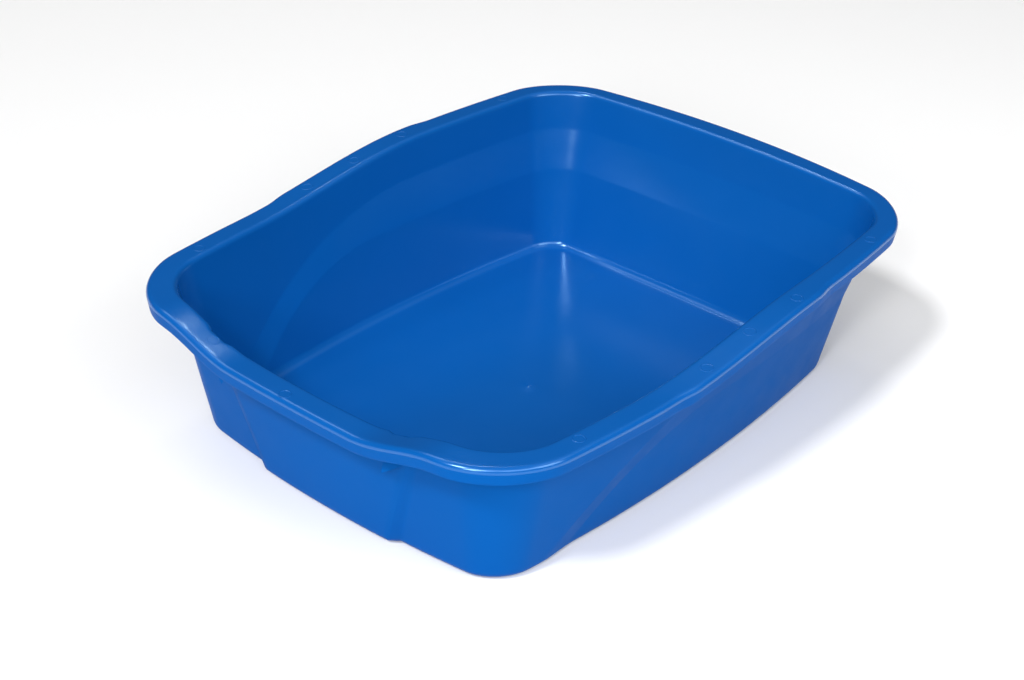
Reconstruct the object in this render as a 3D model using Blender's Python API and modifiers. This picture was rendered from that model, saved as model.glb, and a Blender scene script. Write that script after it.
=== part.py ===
"""Litter pan: a one-piece injection-moulded tub with a low entry side and side grips.

Units are metres and +Z is up. The origin is at the middle of the box that holds the pan,
on the surface it stands on. The low entry side faces -Y, and left mirrors right.
The inside and top skin is lofted, and the wall thickness grows outwards and down from it.
"""

import math
from dataclasses import dataclass

import bmesh
import bpy
from mathutils import Vector

# Rim, out to the corner where its top face would meet its skirt if that edge weren't rounded.
# The grips stand out further on both long sides. A bow is how far a side is drawn in at its
# two ends.
RIM_LENGTH = 0.482
RIM_WIDTH = 0.378
RIM_FRONT_CORNER_RADIUS = 0.057
RIM_BACK_CORNER_RADIUS = 0.050
RIM_SIDE_BOW = 0.018
RIM_FRONT_BOW = 0.008
RIM_BACK_BOW = 0.020

# Heights of the rim's top face above the ground.
REAR_HEIGHT = 0.127
FRONT_HEIGHT = 0.112
ENTRY_HEIGHT = 0.0985

# The long sides rise from the front height to the rear height over this stretch.
RISE_START_FROM_FRONT = 0.130
RISE_LENGTH = 0.175

# The entry side is level in its middle and climbs to the front height on each side of it.
ENTRY_LEVEL_WIDTH = 0.108
ENTRY_SLOPE_WIDTH = 0.070

# Flange and skirt. The skirt leans in towards its lower edge.
FLANGE_WIDTH = 0.019
BACK_FLANGE_WIDTH = 0.020
SKIRT_HEIGHT = 0.012
SKIRT_LEAN = 0.002
GRIP_LENGTH = 0.150
GRIP_BLEND_LENGTH = 0.020
GRIP_REACH = 0.002

# Head of the inner walls, along the inner edge of the flange.
HEAD_FRONT_CORNER_RADIUS = 0.038
HEAD_BACK_CORNER_RADIUS = 0.038
HEAD_SIDE_BOW = 0.015
HEAD_FRONT_BOW = 0.012
HEAD_BACK_BOW = 0.0115

# Foot of the inner walls at the floor, set in from the rim's outer faces.
FOOT_SIDE_INSET = 0.039
FOOT_FRONT_INSET = 0.039
FOOT_BACK_INSET = 0.055
FOOT_FRONT_CORNER_RADIUS = 0.026
FOOT_BACK_CORNER_RADIUS = 0.026
FOOT_SIDE_BOW = 0.0142
FOOT_FRONT_BOW = 0.010
FOOT_BACK_BOW = 0.001

# Below a sloping band, the side and back walls are stepped inwards. Each edge of the band
# is level round the back and drops to the floor near the front on an arc.
STEP_DEPTH = 0.0032
BAND_TOP_HEIGHT = 0.0975
BAND_TOP_ARC_RADIUS = 0.275
BAND_TOP_ARC_FROM_FRONT = 0.289
BAND_FOOT_HEIGHT = 0.066
BAND_FOOT_ARC_RADIUS = 0.175
BAND_FOOT_ARC_FROM_FRONT = 0.241

# The panel in the middle of the entry wall stands proud of the wall beside it. A margin is
# the distance from the panel's edge to the start of the rounded corner, at foot and rim.
PANEL_FOOT_MARGIN = 0.064
PANEL_RIM_MARGIN = 0.034
PANEL_FACET_WIDTH = 0.007
PANEL_FOOT_PROUD = 0.005
PANEL_RIM_PROUD = 0.002

WALL_THICKNESS = 0.002
FLOOR_FILLET_RADIUS = 0.007
INNER_EDGE_RADIUS = 0.004
OUTER_EDGE_RADIUS = 0.0035

# Mesh density: columns of the loft along each stretch of the half outline, segments round
# each rounded edge, and the least height between two rows of a wall.
PANEL_COLUMNS = 5
FACET_COLUMNS = 1
SHOULDER_COLUMNS = 2
CORNER_COLUMNS = 7
SIDE_FRONT_COLUMNS = 5
GRIP_BLEND_COLUMNS = 3
GRIP_COLUMNS = 7
SIDE_BACK_COLUMNS = 4
BACK_COLUMNS = 5
FILLET_SEGMENTS = 3
ROW_GAP = 0.002

PLASTIC_COLOUR = (0.007, 0.095, 0.429, 1.0)
PLASTIC_ROUGHNESS = 0.25


@dataclass
class Outline:
    """A rounded rectangle with bowed sides, symmetric about X = 0."""

    half_width: float
    front: float
    back: float
    front_radius: float
    back_radius: float
    side_bow: float
    front_bow: float
    back_bow: float
    panel_margin: float


def mix(start, end, share):
    return start + (end - start) * share


def ease(share):
    """Smooth step from 0 to 1."""
    share = min(max(share, 0.0), 1.0)
    return share * share * (3.0 - 2.0 * share)


def run(start, end, count):
    """Evenly spaced values from start up to, and without, end."""
    return [mix(start, end, i / count) for i in range(count)]


def rim_outline():
    return Outline(
        half_width=RIM_WIDTH / 2,
        front=-RIM_LENGTH / 2,
        back=RIM_LENGTH / 2,
        front_radius=RIM_FRONT_CORNER_RADIUS,
        back_radius=RIM_BACK_CORNER_RADIUS,
        side_bow=RIM_SIDE_BOW,
        front_bow=RIM_FRONT_BOW,
        back_bow=RIM_BACK_BOW,
        panel_margin=PANEL_RIM_MARGIN,
    )


def head_outline():
    """Head of the inner walls, where they meet the flange."""
    return Outline(
        half_width=RIM_WIDTH / 2 - FLANGE_WIDTH,
        front=-RIM_LENGTH / 2 + FLANGE_WIDTH,
        back=RIM_LENGTH / 2 - BACK_FLANGE_WIDTH,
        front_radius=HEAD_FRONT_CORNER_RADIUS,
        back_radius=HEAD_BACK_CORNER_RADIUS,
        side_bow=HEAD_SIDE_BOW,
        front_bow=HEAD_FRONT_BOW,
        back_bow=HEAD_BACK_BOW,
        panel_margin=PANEL_RIM_MARGIN,
    )


def foot_outline():
    """Foot of the inner walls, where they meet the floor."""
    return Outline(
        half_width=RIM_WIDTH / 2 - FOOT_SIDE_INSET,
        front=-RIM_LENGTH / 2 + FOOT_FRONT_INSET,
        back=RIM_LENGTH / 2 - FOOT_BACK_INSET,
        front_radius=FOOT_FRONT_CORNER_RADIUS,
        back_radius=FOOT_BACK_CORNER_RADIUS,
        side_bow=FOOT_SIDE_BOW,
        front_bow=FOOT_FRONT_BOW,
        back_bow=FOOT_BACK_BOW,
        panel_margin=PANEL_FOOT_MARGIN,
    )


def side_shares():
    """Places of the columns along a long side, as shares of its straight stretch."""
    first = -RIM_LENGTH / 2 + RIM_FRONT_CORNER_RADIUS
    last = RIM_LENGTH / 2 - RIM_BACK_CORNER_RADIUS
    grip_end = (GRIP_LENGTH + GRIP_BLEND_LENGTH) / 2
    grip_flat = (GRIP_LENGTH - GRIP_BLEND_LENGTH) / 2
    places = run(first, -grip_end, SIDE_FRONT_COLUMNS)
    places += run(-grip_end, -grip_flat, GRIP_BLEND_COLUMNS)
    places += run(-grip_flat, grip_flat, GRIP_COLUMNS)
    places += run(grip_flat, grip_end, GRIP_BLEND_COLUMNS)
    places += run(grip_end, last, SIDE_BACK_COLUMNS)
    return [(place - first) / (last - first) for place in places]


def plan_points(shape):
    """Half outline from the middle of the front, round +X, to the middle of the back."""
    front_corner = shape.half_width - shape.front_radius
    panel_edge = front_corner - shape.panel_margin
    facet_edge = panel_edge + PANEL_FACET_WIDTH
    back_corner = shape.half_width - shape.back_radius
    side_start = shape.front + shape.front_radius
    side_end = shape.back - shape.back_radius

    front_places = run(0.0, panel_edge, PANEL_COLUMNS)
    front_places += run(panel_edge, facet_edge, FACET_COLUMNS)
    front_places += run(facet_edge, front_corner, SHOULDER_COLUMNS)
    points = [(x, shape.front) for x in front_places]
    for angle in run(-math.pi / 2, 0.0, CORNER_COLUMNS):
        x = front_corner + shape.front_radius * math.cos(angle)
        y = side_start + shape.front_radius * math.sin(angle)
        points.append((x, y))
    for share in side_shares():
        points.append((shape.half_width, mix(side_start, side_end, share)))
    for angle in run(0.0, math.pi / 2, CORNER_COLUMNS):
        x = back_corner + shape.back_radius * math.cos(angle)
        y = side_end + shape.back_radius * math.sin(angle)
        points.append((x, y))
    points += [(x, shape.back) for x in run(back_corner, 0.0, BACK_COLUMNS)]
    points.append((0.0, shape.back))
    return [bowed(shape, x, y) for x, y in points]


def bowed(shape, x, y):
    """Draw a point of the plain rounded rectangle in, more towards the four corners."""
    across = x / shape.half_width
    middle = (shape.front + shape.back) / 2
    along = (y - middle) / (shape.back - middle)
    end_bow = shape.back_bow if along > 0.0 else shape.front_bow
    return Vector((x - shape.side_bow * across * along**2, y - end_bow * along * across**2, 0.0))


def outward_normals(points):
    """Level direction square to the outline at each of its points."""
    normals = [Vector((0.0, -1.0, 0.0))]
    for before, after in zip(points, points[2:]):
        along = (after - before).normalized()
        normals.append(Vector((along.y, -along.x, 0.0)))
    normals.append(Vector((0.0, 1.0, 0.0)))
    return normals


def rim_height(point):
    rise_start = -RIM_LENGTH / 2 + RISE_START_FROM_FRONT
    rise = ease((point.y - rise_start) / RISE_LENGTH)
    height = mix(FRONT_HEIGHT, REAR_HEIGHT, rise)
    if point.y < 0.0:
        climb = ease((abs(point.x) - ENTRY_LEVEL_WIDTH / 2) / ENTRY_SLOPE_WIDTH)
        height -= (FRONT_HEIGHT - ENTRY_HEIGHT) * (1.0 - climb)
    return height


def band_edge_height(y, level, radius, arc_from_front):
    """Height of one edge of the band: level behind the start of its arc, dropping before it."""
    arc_start = -RIM_LENGTH / 2 + arc_from_front
    ahead = min(max(arc_start - y, 0.0), radius)
    return level - radius + math.sqrt(radius**2 - ahead**2)


def band_heights(y):
    foot = band_edge_height(y, BAND_FOOT_HEIGHT, BAND_FOOT_ARC_RADIUS, BAND_FOOT_ARC_FROM_FRONT)
    top = band_edge_height(y, BAND_TOP_HEIGHT, BAND_TOP_ARC_RADIUS, BAND_TOP_ARC_FROM_FRONT)
    return foot, top


def step_at(point):
    """How far the wall is stepped inwards at a point."""
    foot, top = band_heights(point.y)
    below_top = (top - point.z) / (top - foot)
    return STEP_DEPTH * min(max(below_top, 0.0), 1.0)


def wall_heights(y, floor_height, head_height):
    """Heights of the rows of a wall, two of them along the edges of the band."""
    foot, top = band_heights(y)
    low = floor_height + FLOOR_FILLET_RADIUS + ROW_GAP / 2
    high = head_height - INNER_EDGE_RADIUS - ROW_GAP / 2
    foot = min(max(foot, low + ROW_GAP), high - 3 * ROW_GAP)
    top = min(max(top, foot + 2 * ROW_GAP), high - ROW_GAP)
    return [low, foot, (foot + top) / 2, top, high]


def rounded(before, corner, after, radius):
    """Points of the arc that rounds the corner between two straight runs."""
    back = (before - corner).normalized()
    ahead = (after - corner).normalized()
    half_angle = back.angle(ahead) / 2
    centre = corner + (back + ahead).normalized() * radius / math.sin(half_angle)
    reach = radius / math.tan(half_angle)
    first = (corner + back * reach - centre).normalized()
    last = (corner + ahead * reach - centre).normalized()
    shares = [i / FILLET_SEGMENTS for i in range(FILLET_SEGMENTS + 1)]
    return [centre + first.slerp(last, share) * radius for share in shares]


def panel_share(column):
    """1 on the proud panel of the entry wall, 0 beside it."""
    return 1.0 if column <= PANEL_COLUMNS else 0.0


def section(column, foot, foot_normal, head, head_normal, edge, edge_normal):
    """One column of the skin: floor, wall, flange and skirt, from the inside out."""
    floor_height = WALL_THICKNESS
    head_height = rim_height(edge)

    def wall_point(height):
        share = (height - floor_height) / (head_height - floor_height)
        outward = foot_normal.lerp(head_normal, share).normalized()
        point = foot.lerp(head, share)
        point.z = height
        proud = mix(PANEL_FOOT_PROUD, PANEL_RIM_PROUD, share) * panel_share(column)
        return point + outward * (proud - step_at(point))

    middle_y = (foot.y + head.y) / 2
    wall = [wall_point(z) for z in wall_heights(middle_y, floor_height, head_height)]
    foot_corner = wall_point(floor_height)
    head_corner = wall_point(head_height)

    grip_distance = abs(edge.y) - (GRIP_LENGTH - GRIP_BLEND_LENGTH) / 2
    grip = GRIP_REACH * (1.0 - ease(grip_distance / GRIP_BLEND_LENGTH))
    edge_corner = Vector((edge.x + grip, edge.y, head_height))
    skirt_foot = edge_corner - edge_normal * SKIRT_LEAN - Vector((0.0, 0.0, SKIRT_HEIGHT))

    points = rounded(foot_corner - foot_normal, foot_corner, wall[0], FLOOR_FILLET_RADIUS)
    points += wall
    points += rounded(wall[-1], head_corner, edge_corner, INNER_EDGE_RADIUS)
    points += rounded(head_corner, edge_corner, skirt_foot, OUTER_EDGE_RADIUS)
    points.append(skirt_foot)
    return points


def make_skin_mesh():
    """Right half of the inside and top skin, open along X = 0 and under the skirt."""
    feet = plan_points(foot_outline())
    heads = plan_points(head_outline())
    edges = plan_points(rim_outline())
    corners = zip(
        feet, outward_normals(feet), heads, outward_normals(heads), edges, outward_normals(edges)
    )

    skin = bmesh.new()
    columns = []
    for column, places in enumerate(corners):
        columns.append([skin.verts.new(point) for point in section(column, *places)])
    for near, far in zip(columns, columns[1:]):
        for i in range(len(near) - 1):
            skin.faces.new((near[i], near[i + 1], far[i + 1], far[i]))
    skin.faces.new([column[0] for column in columns])

    mesh = bpy.data.meshes.new("pan")
    skin.to_mesh(mesh)
    skin.free()
    mesh.shade_smooth()
    mesh.set_sharp_from_angle(angle=math.radians(35))
    return mesh


def make_plastic():
    """Glossy blue polypropylene."""
    material = bpy.data.materials.new("blue_polypropylene")
    material.use_nodes = True
    shader = material.node_tree.nodes["Principled BSDF"]
    shader.inputs["Base Color"].default_value = PLASTIC_COLOUR
    shader.inputs["Roughness"].default_value = PLASTIC_ROUGHNESS
    shader.inputs["Metallic"].default_value = 0.0
    return material


def add_pan(collection):
    pan = bpy.data.objects.new("pan", make_skin_mesh())
    pan.data.materials.append(make_plastic())
    collection.objects.link(pan)

    halves = pan.modifiers.new("left_and_right", "MIRROR")
    halves.use_axis = (True, False, False)
    halves.merge_threshold = 0.00001

    wall = pan.modifiers.new("wall_thickness", "SOLIDIFY")
    wall.thickness = WALL_THICKNESS
    wall.offset = -1.0
    wall.use_even_offset = True
    wall.use_quality_normals = True
    return pan


def main():
    for leftover in list(bpy.data.objects):
        bpy.data.objects.remove(leftover)
    collection = bpy.data.collections.new("litter_pan")
    bpy.context.scene.collection.children.link(collection)
    add_pan(collection)


main()
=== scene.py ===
"""Litter pan: the visible surface, the finish of its plastic, and a plain studio round it.

Units are metres, +Z is up, and the low entry side of the pan faces -Y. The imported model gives
the frame that everything here is placed in.
"""

import math

import bmesh
import bpy
from mathutils import Matrix, Vector, noise


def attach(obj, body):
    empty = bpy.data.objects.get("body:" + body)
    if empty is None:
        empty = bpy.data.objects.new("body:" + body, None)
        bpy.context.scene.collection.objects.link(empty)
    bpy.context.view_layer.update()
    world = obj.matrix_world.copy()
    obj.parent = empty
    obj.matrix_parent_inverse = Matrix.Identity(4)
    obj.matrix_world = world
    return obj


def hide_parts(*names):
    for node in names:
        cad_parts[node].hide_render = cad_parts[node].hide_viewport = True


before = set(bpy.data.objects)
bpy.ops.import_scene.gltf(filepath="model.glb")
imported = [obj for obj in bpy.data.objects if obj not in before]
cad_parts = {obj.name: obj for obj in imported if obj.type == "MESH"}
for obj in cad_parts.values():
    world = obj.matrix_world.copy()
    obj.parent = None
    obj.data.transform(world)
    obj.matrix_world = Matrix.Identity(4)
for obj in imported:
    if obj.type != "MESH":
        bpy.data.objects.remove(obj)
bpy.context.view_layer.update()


# ---------------------------------------------------------------------------------------
# The moulding. The whole pan is one injection-moulded shell of polypropylene, 2 mm thick. Its
# inside and top skin is lofted column by column, from the gate in the floor, up the stepped
# walls, over the flange and down the skirt, and Solidify grows the wall outwards from it.

RIM_LENGTH = 0.4818
RIM_WIDTH = 0.3778
REAR_HEIGHT = 0.1268
FRONT_HEIGHT = 0.112
ENTRY_HEIGHT = 0.0985
ENTRY_LEVEL_WIDTH = 0.108
ENTRY_SLOPE_WIDTH = 0.070
RISE_START_FROM_FRONT = 0.130
RISE_LENGTH = 0.175

FLANGE_WIDTH = 0.019
BACK_FLANGE_WIDTH = 0.020
SKIRT_HEIGHT = 0.012
SKIRT_LEAN = 0.002
GRIP_LENGTH = 0.150
GRIP_BLEND_LENGTH = 0.020
GRIP_REACH = 0.002

STEP_DEPTH = 0.0032
BAND_TOP_HEIGHT = 0.0975
BAND_TOP_ARC_RADIUS = 0.275
BAND_TOP_ARC_FROM_FRONT = 0.289
BAND_FOOT_HEIGHT = 0.066
BAND_FOOT_ARC_RADIUS = 0.175
BAND_FOOT_ARC_FROM_FRONT = 0.241
BAND_EDGE_SOFTNESS = 0.0012

PANEL_RIM_MARGIN = 0.034
PANEL_FOOT_MARGIN = 0.064
PANEL_FACET_WIDTH = 0.007
PANEL_FOOT_PROUD = 0.005
PANEL_RIM_PROUD = 0.002

WALL_THICKNESS = 0.002
FLOOR_FILLET_RADIUS = 0.007
BACK_BEAD_HEIGHT = 0.00055
BACK_BEAD_LENGTH = 0.190
BACK_BEAD_FADE = 0.060
BACK_BEAD_PLACE = 0.36  # share of the way up the fillet's arc
BACK_BEAD_SPREAD = 0.14
INNER_EDGE_RADIUS = 0.004
OUTER_EDGE_RADIUS = 0.0035
SKIRT_LIP_RADIUS = 0.0006
LIP_SEGMENTS = 3
LIP_ANGLE = math.radians(60)
SHARP_ANGLE = math.radians(50)
SEAM_REACH = 0.00001

# Slow waves that shrinkage leaves in the large flat faces, and the domed button over the gate.
WARP_DEPTH = 0.00022
WARP_LENGTH = 0.110
GATE_DOME_RADIUS = 0.0085
GATE_DOME_HEIGHT = 0.0005
GATE_STUB_RADIUS = 0.0016
GATE_STUB_HEIGHT = 0.0005
GATE_CENTRE = Vector((0.0, -0.003, 0.0))

# Columns along each stretch of the half outline, and segments round each rounded edge.
PANEL_COLUMNS = 14
FACET_COLUMNS = 6
SHOULDER_COLUMNS = 12
CORNER_COLUMNS = 26
SIDE_FRONT_COLUMNS = 26
GRIP_BLEND_COLUMNS = 8
GRIP_COLUMNS = 36
SIDE_BACK_COLUMNS = 18
BACK_COLUMNS = 20
EDGE_SEGMENTS = 9
FILLET_SEGMENTS = 18
FACE_ROWS = 5
BAND_EDGE_ROWS = 4
FLANGE_ROWS = 4
SKIRT_ROWS = 3

# Rings of the floor: the inner ones are circles round the gate, and the outer ones are
# shares of the way from there to the foot of the walls.
GATE_RING_RADII = (0.0006, 0.0015, 0.003, 0.0045, 0.006, 0.0072, 0.0085, 0.010, 0.012, 0.015, 0.019)
FLOOR_RING_SHARES = (0.1, 0.2, 0.31, 0.42, 0.53, 0.64, 0.75, 0.85, 0.93)


class Outline:
    """A rounded rectangle with bowed sides, symmetric about X = 0."""

    def __init__(self, side_inset, front_inset, back_inset, radii, bows, panel_margin):
        self.half_width = RIM_WIDTH / 2 - side_inset
        self.front = -RIM_LENGTH / 2 + front_inset
        self.back = RIM_LENGTH / 2 - back_inset
        self.front_radius, self.back_radius = radii
        self.side_bow, self.front_bow, self.back_bow = bows
        self.panel_margin = panel_margin


# The radii are of the front and back corners, and the bows of the sides, front and back.
RIM = Outline(
    side_inset=0.0,
    front_inset=0.0,
    back_inset=0.0,
    radii=(0.057, 0.050),
    bows=(0.018, 0.008, 0.020),
    panel_margin=PANEL_RIM_MARGIN,
)
HEAD = Outline(
    side_inset=FLANGE_WIDTH,
    front_inset=FLANGE_WIDTH,
    back_inset=BACK_FLANGE_WIDTH,
    radii=(0.038, 0.038),
    bows=(0.015, 0.012, 0.0115),
    panel_margin=PANEL_RIM_MARGIN,
)
FOOT = Outline(
    side_inset=0.039,
    front_inset=0.039,
    back_inset=0.055,
    radii=(0.026, 0.026),
    bows=(0.0142, 0.010, 0.001),
    panel_margin=PANEL_FOOT_MARGIN,
)


def mix(start, end, share):
    """The value at a share of the way from start to end."""
    return start + (end - start) * share


def ease(share):
    """A share from 0 to 1, made to start and end gently."""
    share = min(max(share, 0.0), 1.0)
    return share * share * (3.0 - 2.0 * share)


def run(start, end, count):
    """Evenly spaced values from start up to, and without, end."""
    return [mix(start, end, i / count) for i in range(count)]


def soft_ramp(share, softness):
    """A straight ramp from 0 to 1 whose two corners are rounded over the softness."""
    if share <= -softness:
        return 0.0
    if share < softness:
        return (share + softness) ** 2 / (4 * softness)
    if share <= 1.0 - softness:
        return share
    if share < 1.0 + softness:
        return 1.0 - (1.0 + softness - share) ** 2 / (4 * softness)
    return 1.0


def side_shares():
    """Places of the columns along a long side, as shares of its straight stretch."""
    first = RIM.front + RIM.front_radius
    last = RIM.back - RIM.back_radius
    grip_end = (GRIP_LENGTH + GRIP_BLEND_LENGTH) / 2
    grip_flat = (GRIP_LENGTH - GRIP_BLEND_LENGTH) / 2
    places = run(first, -grip_end, SIDE_FRONT_COLUMNS)
    places += run(-grip_end, -grip_flat, GRIP_BLEND_COLUMNS)
    places += run(-grip_flat, grip_flat, GRIP_COLUMNS)
    places += run(grip_flat, grip_end, GRIP_BLEND_COLUMNS)
    places += run(grip_end, last, SIDE_BACK_COLUMNS)
    return [(place - first) / (last - first) for place in places]


def bowed(shape, x, y):
    """Draw a point of the plain rounded rectangle in, more towards the four corners."""
    across = x / shape.half_width
    middle = (shape.front + shape.back) / 2
    along = (y - middle) / (shape.back - middle)
    end_bow = shape.back_bow if along > 0.0 else shape.front_bow
    return Vector((x - shape.side_bow * across * along**2, y - end_bow * along * across**2, 0.0))


def plan_points(shape):
    """Half outline from the middle of the front, round +X, to the middle of the back."""
    front_corner = shape.half_width - shape.front_radius
    back_corner = shape.half_width - shape.back_radius
    panel_edge = front_corner - shape.panel_margin
    facet_edge = panel_edge + PANEL_FACET_WIDTH
    side_start = shape.front + shape.front_radius
    side_end = shape.back - shape.back_radius

    front_places = run(0.0, panel_edge, PANEL_COLUMNS)
    front_places += run(panel_edge, facet_edge, FACET_COLUMNS)
    front_places += run(facet_edge, front_corner, SHOULDER_COLUMNS)
    points = [(x, shape.front) for x in front_places]
    for angle in run(-math.pi / 2, 0.0, CORNER_COLUMNS):
        x = front_corner + shape.front_radius * math.cos(angle)
        points.append((x, side_start + shape.front_radius * math.sin(angle)))
    for share in side_shares():
        points.append((shape.half_width, mix(side_start, side_end, share)))
    for angle in run(0.0, math.pi / 2, CORNER_COLUMNS):
        x = back_corner + shape.back_radius * math.cos(angle)
        points.append((x, side_end + shape.back_radius * math.sin(angle)))
    points += [(x, shape.back) for x in run(back_corner, 0.0, BACK_COLUMNS)]
    points.append((0.0, shape.back))
    return [bowed(shape, x, y) for x, y in points]


def outward_normals(points):
    """Level direction square to the outline at each of its points."""
    normals = [Vector((0.0, -1.0, 0.0))]
    for before, after in zip(points, points[2:]):
        along = (after - before).normalized()
        normals.append(Vector((along.y, -along.x, 0.0)))
    normals.append(Vector((0.0, 1.0, 0.0)))
    return normals


def rim_height(point):
    """Height of the flange's top face: low at the entry, and rising from there to the back."""
    rise_start = -RIM_LENGTH / 2 + RISE_START_FROM_FRONT
    rise = ease((point.y - rise_start) / RISE_LENGTH)
    height = mix(FRONT_HEIGHT, REAR_HEIGHT, rise)
    if point.y < 0.0:
        climb = ease((abs(point.x) - ENTRY_LEVEL_WIDTH / 2) / ENTRY_SLOPE_WIDTH)
        height -= (FRONT_HEIGHT - ENTRY_HEIGHT) * (1.0 - climb)
    return height


def band_edge_height(y, level, radius, arc_from_front):
    """Height of one edge of the band: level at the back, and dropping on an arc to the front."""
    ahead = min(max(-RIM_LENGTH / 2 + arc_from_front - y, 0.0), radius)
    return level - radius + math.sqrt(radius**2 - ahead**2)


def band_heights(y):
    """Heights of the band's lower and upper edges."""
    foot = band_edge_height(y, BAND_FOOT_HEIGHT, BAND_FOOT_ARC_RADIUS, BAND_FOOT_ARC_FROM_FRONT)
    top = band_edge_height(y, BAND_TOP_HEIGHT, BAND_TOP_ARC_RADIUS, BAND_TOP_ARC_FROM_FRONT)
    return foot, top


def step_at(point):
    """How far the wall is stepped inwards at a point."""
    foot, top = band_heights(point.y)
    width = top - foot
    return STEP_DEPTH * soft_ramp((top - point.z) / width, BAND_EDGE_SOFTNESS / width)


def wall_heights(y, floor_height, head_height):
    """Heights of the rows of a wall, set close together along the two edges of the band."""
    foot, top = band_heights(y)
    low = floor_height + FLOOR_FILLET_RADIUS + BAND_EDGE_SOFTNESS
    high = head_height - INNER_EDGE_RADIUS - BAND_EDGE_SOFTNESS
    around = 1.5 * BAND_EDGE_SOFTNESS
    foot = min(max(foot, low + 2 * around), high - 6 * around)
    top = min(max(top, foot + 3 * around), high - 2 * around)
    heights = run(low, foot - around, FACE_ROWS)
    heights += run(foot - around, foot + around, BAND_EDGE_ROWS)
    heights += run(foot + around, top - around, FACE_ROWS)
    heights += run(top - around, top + around, BAND_EDGE_ROWS)
    heights += run(top + around, high, FACE_ROWS)
    return heights + [high]


def warp_at(point):
    """Depth of the shrinkage waves at a point, the same on both halves of the pan."""
    place = Vector((abs(point.x), point.y, point.z)) / WARP_LENGTH
    return WARP_DEPTH * noise.noise(place)


def rounded(before, corner, after, radius, segments=EDGE_SEGMENTS):
    """Points of the arc that rounds the corner between two straight runs."""
    back = (before - corner).normalized()
    ahead = (after - corner).normalized()
    half_angle = back.angle(ahead) / 2
    centre = corner + (back + ahead).normalized() * radius / math.sin(half_angle)
    reach = radius / math.tan(half_angle)
    first = (corner + back * reach - centre).normalized()
    last = (corner + ahead * reach - centre).normalized()
    shares = [i / segments for i in range(segments + 1)]
    return [centre + first.slerp(last, share) * radius for share in shares]


def between(start, end, count):
    """Points inside a straight run, without its two ends."""
    return [start.lerp(end, i / (count + 1)) for i in range(1, count + 1)]


def back_bead(x, share):
    """How proud the thin bead along the back fillet stands, at a share of the fillet's arc."""
    fade = ease((BACK_BEAD_LENGTH / 2 - abs(x)) / BACK_BEAD_FADE)
    return BACK_BEAD_HEIGHT * fade * ease(1.0 - abs(share - BACK_BEAD_PLACE) / BACK_BEAD_SPREAD)


def panel_share(column):
    """1 on the proud panel of the entry wall, easing to 0 across the facet beside it."""
    return 1.0 - min(max((column - PANEL_COLUMNS) / FACET_COLUMNS, 0.0), 1.0)


def floor_height_at(radius):
    """Height of the floor's top face at a distance from the gate."""
    dome = GATE_DOME_HEIGHT * (1.0 - ease(radius / GATE_DOME_RADIUS))
    stub = GATE_STUB_HEIGHT * (1.0 - ease(radius / GATE_STUB_RADIUS))
    return WALL_THICKNESS + dome + stub


def floor_points(foot):
    """One column of the floor, from the gate out to where the floor's fillet starts."""
    outward = (foot - GATE_CENTRE).normalized()
    points = []
    for radius in GATE_RING_RADII:
        place = GATE_CENTRE + outward * radius
        points.append(Vector((place.x, place.y, floor_height_at(radius))))
    last_ring = points[-1]
    points += [last_ring.lerp(foot, share) for share in FLOOR_RING_SHARES]
    return points


def section(column, foot, foot_normal, head, head_normal, edge, edge_normal):
    """One column of the skin: floor, wall, flange and skirt, from the inside out."""
    floor_height = WALL_THICKNESS
    head_height = rim_height(edge)

    def wall_point(height, warp=0.0):
        share = (height - floor_height) / (head_height - floor_height)
        outward = foot_normal.lerp(head_normal, share).normalized()
        point = foot.lerp(head, share)
        point.z = height
        proud = mix(PANEL_FOOT_PROUD, PANEL_RIM_PROUD, share) * panel_share(column)
        return point + outward * (proud - step_at(point) + warp * warp_at(point))

    heights = wall_heights((foot.y + head.y) / 2, floor_height, head_height)
    fade_height = 4 * FLOOR_FILLET_RADIUS
    wall = []
    for height in heights:
        near_end = min(height - heights[0], heights[-1] - height)
        wall.append(wall_point(height, ease(near_end / fade_height)))
    foot_corner = wall_point(floor_height)
    head_corner = wall_point(head_height)

    grip_distance = abs(edge.y) - (GRIP_LENGTH - GRIP_BLEND_LENGTH) / 2
    grip = GRIP_REACH * (1.0 - ease(grip_distance / GRIP_BLEND_LENGTH))
    edge_corner = Vector((edge.x + grip, edge.y, head_height))
    skirt_foot = edge_corner - edge_normal * SKIRT_LEAN - Vector((0.0, 0.0, SKIRT_HEIGHT))

    fillet = rounded(
        foot_corner - foot_normal, foot_corner, wall[0], FLOOR_FILLET_RADIUS, FILLET_SEGMENTS
    )
    if foot.y > 0.0:
        inward = (Vector((0.0, 0.0, 1.0)) - foot_normal).normalized()
        for i, point in enumerate(fillet):
            fillet[i] = point + inward * back_bead(foot.x, i / FILLET_SEGMENTS)
    inner_edge = rounded(wall[-1], head_corner, edge_corner, INNER_EDGE_RADIUS)
    outer_edge = rounded(head_corner, edge_corner, skirt_foot, OUTER_EDGE_RADIUS)
    points = floor_points(fillet[0]) + fillet + wall + inner_edge
    points += between(inner_edge[-1], outer_edge[0], FLANGE_ROWS)
    points += outer_edge
    points += between(outer_edge[-1], skirt_foot, SKIRT_ROWS)
    points.append(skirt_foot)
    return points


# The core side of the tool is taken as polished and the cavity side as plainer, so the inside
# and the top are glossy, and the skirt, the outer walls and the underside are satin.
GLOSS_FACE = 0
SATIN_FACE = 1


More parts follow.
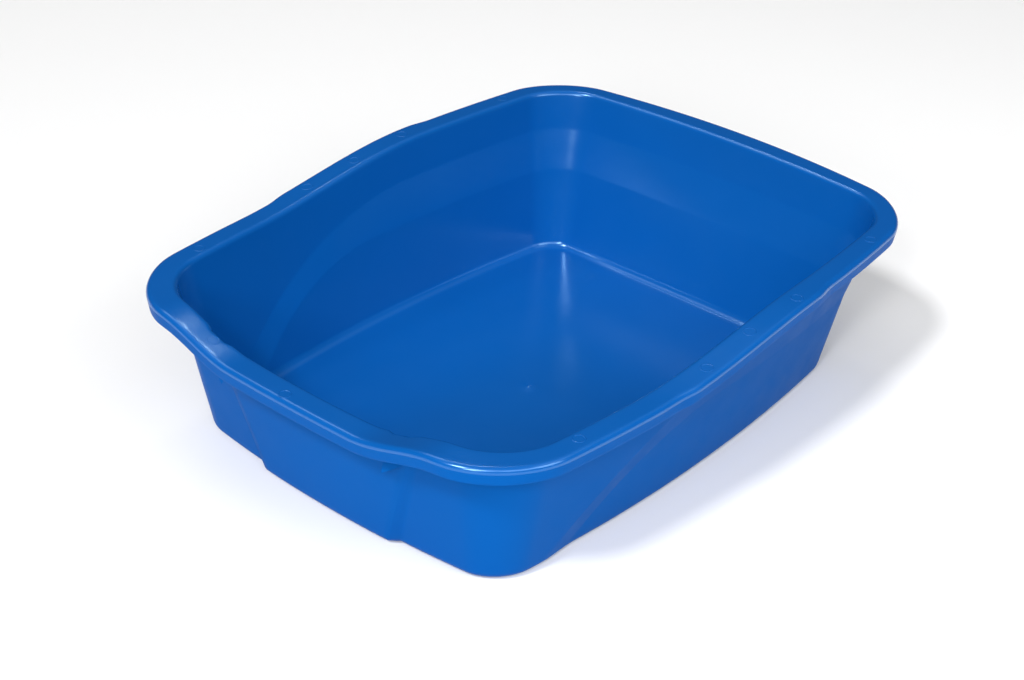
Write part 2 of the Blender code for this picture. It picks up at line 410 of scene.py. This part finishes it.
def make_skin_mesh():
    """Right half of the inside and top skin, open along X = 0 and under the skirt."""
    feet, heads, edges = plan_points(FOOT), plan_points(HEAD), plan_points(RIM)
    corners = zip(
        feet, outward_normals(feet), heads, outward_normals(heads), edges, outward_normals(edges)
    )
    skin = bmesh.new()
    columns = []
    for column, places in enumerate(corners):
        columns.append([skin.verts.new(point) for point in section(column, *places)])
    pole = skin.verts.new(GATE_CENTRE + Vector((0.0, 0.0, floor_height_at(0.0))))
    for near, far in zip(columns, columns[1:]):
        skin.faces.new((pole, near[0], far[0]))
        for i in range(len(near) - 1):
            face = skin.faces.new((near[i], near[i + 1], far[i + 1], far[i]))
            face.material_index = SATIN_FACE if i >= len(near) - 2 - SKIRT_ROWS else GLOSS_FACE
    mesh = bpy.data.meshes.new("pan_moulding")
    skin.to_mesh(mesh)
    skin.free()
    return mesh


def applied(piece):
    """Turn a piece's live modifiers into its mesh."""
    graph = bpy.context.evaluated_depsgraph_get()
    mesh = bpy.data.meshes.new_from_object(piece.evaluated_get(graph))
    piece.modifiers.clear()
    piece.data = mesh
    return mesh


pan = bpy.data.objects.new("pan_moulding", make_skin_mesh())
pan.data.materials.append(bpy.data.materials.new("blue_gloss_polypropylene"))
pan.data.materials.append(bpy.data.materials.new("blue_satin_polypropylene"))
bpy.context.scene.collection.objects.link(pan)

halves = pan.modifiers.new("left_and_right", "MIRROR")
halves.use_axis = (True, False, False)
halves.merge_threshold = SEAM_REACH

wall = pan.modifiers.new("wall_thickness", "SOLIDIFY")
wall.thickness = WALL_THICKNESS
wall.offset = -1.0
wall.use_even_offset = True
wall.use_quality_normals = True
wall.material_offset = SATIN_FACE
wall.material_offset_rim = SATIN_FACE

lip = pan.modifiers.new("skirt_lip", "BEVEL")
lip.width = SKIRT_LIP_RADIUS
lip.segments = LIP_SEGMENTS
lip.limit_method = "ANGLE"
lip.angle_limit = LIP_ANGLE

applied(pan)
pan.data.shade_smooth()
pan.data.set_sharp_from_angle(angle=SHARP_ANGLE)


# The plastic. Moulded polypropylene, pigmented right through: a deep even blue, with long soft
# highlights on the rounded edges of the glossy side. Both specular levels are matched to the
# look, well above the resin's own on the glossy side and far below it on the satin side.

BLUE = "#0655A2"
BLUE_DEEP = "#04519D"
POLYPROPYLENE_IOR = 1.49
GLOSS_LEVEL = 0.95
GLOSS_ROUGHNESS = (0.18, 0.25)
SATIN_LEVEL = 0.02
SATIN_ROUGHNESS = (0.32, 0.45)
SPECULAR_TINT = "#ADDFFF"
ORANGE_PEEL_SIZE = 0.0035
ORANGE_PEEL_DEPTH = 0.00002
ORANGE_PEEL_DETAIL = 2.0
FLOW_SIZE = 0.060
FLOW_DETAIL = 3.0
HANDLING_SIZE = 0.022
HANDLING_DETAIL = 5.0
HANDLING_RANGE = (0.35, 0.80)


def linear(code):
    """The linear colour of an sRGB hex value."""
    shares = [int(code[i : i + 2], 16) / 255 for i in (1, 3, 5)]
    curve = [s / 12.92 if s <= 0.04045 else ((s + 0.055) / 1.055) ** 2.4 for s in shares]
    return (*curve, 1.0)


def add_node(tree, kind, settings=None, values=None, links=None):
    """Add a node, set its properties and unlinked sockets, and link outputs into it."""
    node = tree.nodes.new(kind)
    for name, setting in (settings or {}).items():
        setattr(node, name, setting)
    for name, value in (values or {}).items():
        node.inputs[name].default_value = value
    for name, socket in (links or {}).items():
        tree.links.new(socket, node.inputs[name])
    return node


def make_polypropylene(material, specular_level, roughness):
    """Build the plastic's nodes, with the gloss that its side of the tool gives it."""
    material.use_nodes = True
    tree = material.node_tree
    shader = tree.nodes["Principled BSDF"]
    shader.inputs["Metallic"].default_value = 0.0
    shader.inputs["IOR"].default_value = POLYPROPYLENE_IOR
    shader.inputs["Specular IOR Level"].default_value = specular_level
    shader.inputs["Specular Tint"].default_value = linear(SPECULAR_TINT)
    place = add_node(tree, "ShaderNodeTexCoord").outputs["Object"]

    # Pigment: broad, faint clouds where the melt flowed.
    flow = add_node(
        tree,
        "ShaderNodeTexNoise",
        values={"Scale": 1 / FLOW_SIZE, "Detail": FLOW_DETAIL},
        links={"Vector": place},
    )
    pigment = add_node(
        tree,
        "ShaderNodeMix",
        {"data_type": "RGBA"},
        {"A": linear(BLUE_DEEP), "B": linear(BLUE)},
        {"Factor": flow.outputs["Fac"]},
    )
    tree.links.new(pigment.outputs["Result"], shader.inputs["Base Color"])

    # Gloss: duller in soft patches where the pan has been wiped and stacked.
    handling = add_node(
        tree,
        "ShaderNodeTexNoise",
        values={"Scale": 1 / HANDLING_SIZE, "Detail": HANDLING_DETAIL},
        links={"Vector": place},
    )
    gloss = add_node(
        tree,
        "ShaderNodeMapRange",
        values={
            "From Min": HANDLING_RANGE[0],
            "From Max": HANDLING_RANGE[1],
            "To Min": roughness[0],
            "To Max": roughness[1],
        },
        links={"Value": handling.outputs["Fac"]},
    )
    tree.links.new(gloss.outputs["Result"], shader.inputs["Roughness"])

    # Skin: the faint orange peel that a fast-cooled moulding has.
    peel = add_node(
        tree,
        "ShaderNodeTexNoise",
        values={"Scale": 1 / ORANGE_PEEL_SIZE, "Detail": ORANGE_PEEL_DETAIL},
        links={"Vector": place},
    )
    skin = add_node(
        tree,
        "ShaderNodeBump",
        values={"Strength": 1.0, "Distance": ORANGE_PEEL_DEPTH},
        links={"Height": peel.outputs["Fac"]},
    )
    tree.links.new(skin.outputs["Normal"], shader.inputs["Normal"])


gloss_plastic, satin_plastic = pan.data.materials
make_polypropylene(gloss_plastic, GLOSS_LEVEL, GLOSS_ROUGHNESS)
make_polypropylene(satin_plastic, SATIN_LEVEL, SATIN_ROUGHNESS)
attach(pan, "root")
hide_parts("pan")


# ---------------------------------------------------------------------------------------
# The knock-out marks. Round steel pins push the cooled pan off its core, and the edge of each
# pin's end leaves a faint raised ring, 8 mm across, in the flange. They are part of the same
# moulding and of the same plastic. The rings are drawn a little coarse, so that they show.

PIN_MARK_RADIUS = 0.0040
PIN_RING_WIDTH = 0.0010
PIN_RING_HEIGHT = 0.00018
RING_SEGMENTS = 48
RING_BEAD_SEGMENTS = 10
PIN_DROP_START = 0.02
PIN_DROP_LENGTH = 0.2
PIN_PLACES_RIGHT = (
    (0.1690, -0.1615),
    (0.1800, -0.0490),
    (0.1790, -0.0020),
    (0.1800, 0.0500),
    (0.1707, 0.1560),
)
PIN_PLACES_FRONT = ((-0.0810, -0.2265), (-0.0060, -0.2340))


def make_pin_mark_tree():
    """Geometry nodes that drop each pin's place onto the flange and lay a ring there."""
    tree = bpy.data.node_groups.new("pin_marks_on_flange", "GeometryNodeTree")
    for name, kind in (
        ("Pin places", "NodeSocketGeometry"),
        ("Moulding", "NodeSocketObject"),
        ("Mark radius", "NodeSocketFloat"),
        ("Ring half width", "NodeSocketFloat"),
        ("Ring flatness", "NodeSocketVector"),
        ("Plastic", "NodeSocketMaterial"),
    ):
        tree.interface.new_socket(name, in_out="INPUT", socket_type=kind)
    tree.interface.new_socket("Marks", in_out="OUTPUT", socket_type="NodeSocketGeometry")
    given = add_node(tree, "NodeGroupInput").outputs

    # Seat: straight down onto the flange, square to it.
    flange = add_node(tree, "GeometryNodeObjectInfo", links={"Object": given["Moulding"]})
    place = add_node(tree, "GeometryNodeInputPosition")
    above = add_node(
        tree,
        "ShaderNodeVectorMath",
        {"operation": "ADD"},
        {1: (0.0, 0.0, PIN_DROP_START)},
        {0: place.outputs[0]},
    )
    drop = add_node(
        tree,
        "GeometryNodeRaycast",
        values={"Ray Direction": (0.0, 0.0, -1.0), "Ray Length": PIN_DROP_LENGTH},
        links={"Target Geometry": flange.outputs["Geometry"], "Source Position": above.outputs[0]},
    )
    seated = add_node(
        tree,
        "GeometryNodeSetPosition",
        links={"Geometry": given["Pin places"], "Position": drop.outputs["Hit Position"]},
    )
    tilt = add_node(
        tree,
        "FunctionNodeAlignRotationToVector",
        {"axis": "Z"},
        links={"Vector": drop.outputs["Hit Normal"]},
    )

    # Ring: a round bead pressed nearly flat.
    path = add_node(
        tree,
        "GeometryNodeCurvePrimitiveCircle",
        values={"Resolution": RING_SEGMENTS},
        links={"Radius": given["Mark radius"]},
    )
    bead = add_node(
        tree,
        "GeometryNodeCurvePrimitiveCircle",
        values={"Resolution": RING_BEAD_SEGMENTS},
        links={"Radius": given["Ring half width"]},
    )
    swept = add_node(
        tree,
        "GeometryNodeCurveToMesh",
        links={"Curve": path.outputs["Curve"], "Profile Curve": bead.outputs["Curve"]},
    )
    ring = add_node(
        tree,
        "GeometryNodeTransform",
        links={"Geometry": swept.outputs["Mesh"], "Scale": given["Ring flatness"]},
    )
    rings = add_node(
        tree,
        "GeometryNodeInstanceOnPoints",
        links={
            "Points": seated.outputs["Geometry"],
            "Instance": ring.outputs["Geometry"],
            "Rotation": tilt.outputs["Rotation"],
        },
    )
    real = add_node(
        tree, "GeometryNodeRealizeInstances", links={"Geometry": rings.outputs["Instances"]}
    )
    finished = add_node(
        tree,
        "GeometryNodeSetMaterial",
        links={"Geometry": real.outputs["Geometry"], "Material": given["Plastic"]},
    )
    add_node(tree, "NodeGroupOutput", links={"Marks": finished.outputs["Geometry"]})
    return tree


pin_places = bpy.data.meshes.new("pin_marks")
pin_rows = [(side * x, y) for x, y in PIN_PLACES_RIGHT for side in (-1.0, 1.0)]
pin_rows += PIN_PLACES_FRONT
pin_places.from_pydata([(x, y, REAR_HEIGHT) for x, y in pin_rows], [], [])
pin_marks = bpy.data.objects.new("pin_marks", pin_places)
bpy.context.scene.collection.objects.link(pin_marks)

laying = pin_marks.modifiers.new("marks_on_flange", "NODES")
laying.node_group = make_pin_mark_tree()
ring_flatness = 2 * PIN_RING_HEIGHT / PIN_RING_WIDTH
for name, value in (
    ("Moulding", pan),
    ("Mark radius", PIN_MARK_RADIUS),
    ("Ring half width", PIN_RING_WIDTH / 2),
    ("Ring flatness", (1.0, 1.0, ring_flatness)),
    ("Plastic", gloss_plastic),
):
    laying[laying.node_group.interface.items_tree[name].identifier] = value
applied(pin_marks)
pin_marks.data.shade_smooth()
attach(pin_marks, "root")


# ---------------------------------------------------------------------------------------
# The studio: a white paper floor, a far key light from the front, a broad far one overhead, five
# soft boxes round the pan, three small ones for the highlights on its edges and in its corner,
# and a camera three-quarters from the front.

FLOOR_REACH = 6.0
FLOOR_LEVEL = -0.0003  # clear of the underside, so that the two faces don't share a plane
PAPER_WHITE = "#F3F3F3"
PAPER_ROUGHNESS = 0.9

floor_corners = [(-1, -1), (1, -1), (1, 1), (-1, 1)]
floor_mesh = bpy.data.meshes.new("studio_floor")
floor_mesh.from_pydata(
    [(x * FLOOR_REACH, y * FLOOR_REACH, FLOOR_LEVEL) for x, y in floor_corners],
    [],
    [(0, 1, 2, 3)],
)
floor_object = bpy.data.objects.new("studio_floor", floor_mesh)
bpy.context.scene.collection.objects.link(floor_object)
paper = bpy.data.materials.new("white_studio_paper")
paper.use_nodes = True
paper_shader = paper.node_tree.nodes["Principled BSDF"]
paper_shader.inputs["Base Color"].default_value = linear(PAPER_WHITE)
paper_shader.inputs["Roughness"].default_value = PAPER_ROUGHNESS
floor_mesh.materials.append(paper)

# Bearings and heights of the lights and the camera are in degrees, with bearing 0 in front of
# the pan and 90 on its right.
SUN_DISTANCE = 3.0
SOFTBOX_DISTANCE = 2.2
BACK_SPOT_DISTANCE = 2.0
SOFTBOX_SIZE = (0.9, 0.9)
LOW_SPOT_SIZE = (0.30, 0.30)
HIGH_SPOT_SIZE = (0.20, 0.20)
BACK_SPOT_SIZE = (0.20, 0.08)
AIR_WHITE = "#FFFFFF"
AIR_STRENGTH = 0.04


def facing(azimuth, elevation):
    """The direction that a bearing and a height point in, seen from the pan."""
    a, e = math.radians(azimuth), math.radians(elevation)
    return Vector((math.sin(a) * math.cos(e), -math.cos(a) * math.cos(e), math.sin(e)))


def hang_light(lamp, away, distance):
    """Put a light in the scene at a distance from the pan, turned to face it."""
    holder = bpy.data.objects.new(lamp.name, lamp)
    holder.location = away * distance
    holder.rotation_mode = "QUATERNION"
    holder.rotation_quaternion = away.to_track_quat("Z", "Y")
    bpy.context.scene.collection.objects.link(holder)


def add_sun(name, azimuth, elevation, spread, level):
    """A far light that by itself brings a pure white floor to about the stated level."""
    lamp = bpy.data.lights.new(name, "SUN")
    lamp.angle = math.radians(spread)
    lamp.energy = level * math.pi / math.sin(math.radians(elevation))
    hang_light(lamp, facing(azimuth, elevation), SUN_DISTANCE)


def add_softbox(name, azimuth, elevation, distance, size, radiance):
    """A near rectangular light of the stated brightness, facing the middle of the pan."""
    lamp = bpy.data.lights.new(name, "AREA")
    lamp.shape = "RECTANGLE"
    lamp.size, lamp.size_y = size
    lamp.energy = radiance * math.pi * size[0] * size[1]
    hang_light(lamp, facing(azimuth, elevation), distance)


add_sun("key_light", 0, 50, 9, 0.45)
add_sun("ceiling_light", 0, 90, 90, 0.10)
add_softbox("front_softbox", 30, 36, SOFTBOX_DISTANCE, SOFTBOX_SIZE, 3.0)
add_softbox("right_softbox", 60, 36, SOFTBOX_DISTANCE, SOFTBOX_SIZE, 3.5)
add_softbox("side_softbox", 90, 36, SOFTBOX_DISTANCE, SOFTBOX_SIZE, 6.0)
add_softbox("side_high_softbox", 120, 60, SOFTBOX_DISTANCE, SOFTBOX_SIZE, 1.0)
add_softbox("left_softbox", 270, 60, SOFTBOX_DISTANCE, SOFTBOX_SIZE, 2.0)
add_softbox("corner_low_spot", 22, 26, SOFTBOX_DISTANCE, LOW_SPOT_SIZE, 35.0)
add_softbox("corner_high_spot", 28, 36, SOFTBOX_DISTANCE, HIGH_SPOT_SIZE, 70.0)
add_softbox("back_spot", 228, 58, BACK_SPOT_DISTANCE, BACK_SPOT_SIZE, 35.0)

world = bpy.data.worlds.new("studio_air")
world.use_nodes = True
air = world.node_tree.nodes["Background"]
air.inputs["Color"].default_value = linear(AIR_WHITE)
air.inputs["Strength"].default_value = AIR_STRENGTH
bpy.context.scene.world = world
bpy.context.scene.view_settings.view_transform = "Standard"

CAMERA_PLACE = Vector((0.7286, -0.8971, 0.7263))
CAMERA_AZIMUTH = 39.85
CAMERA_ELEVATION = 30.72
CAMERA_ROLL = math.radians(2.36)
CAMERA_LENS_MM = 66.07
CAMERA_SENSOR_MM = 36.0
CAMERA_CLIP_START = 0.01

lens = bpy.data.cameras.new("camera")
lens.lens = CAMERA_LENS_MM
lens.sensor_width = CAMERA_SENSOR_MM
lens.clip_start = CAMERA_CLIP_START
camera = bpy.data.objects.new("camera", lens)
back = facing(CAMERA_AZIMUTH, CAMERA_ELEVATION)
bearing = math.radians(CAMERA_AZIMUTH)
level_right = Vector((math.cos(bearing), math.sin(bearing), 0.0))
level_up = back.cross(level_right)
right = level_right * math.cos(CAMERA_ROLL) + level_up * math.sin(CAMERA_ROLL)
up = level_up * math.cos(CAMERA_ROLL) - level_right * math.sin(CAMERA_ROLL)
turn = Matrix((right, up, back)).transposed().to_4x4()
camera.matrix_world = Matrix.Translation(CAMERA_PLACE) @ turn
bpy.context.scene.collection.objects.link(camera)
bpy.context.scene.camera = camera
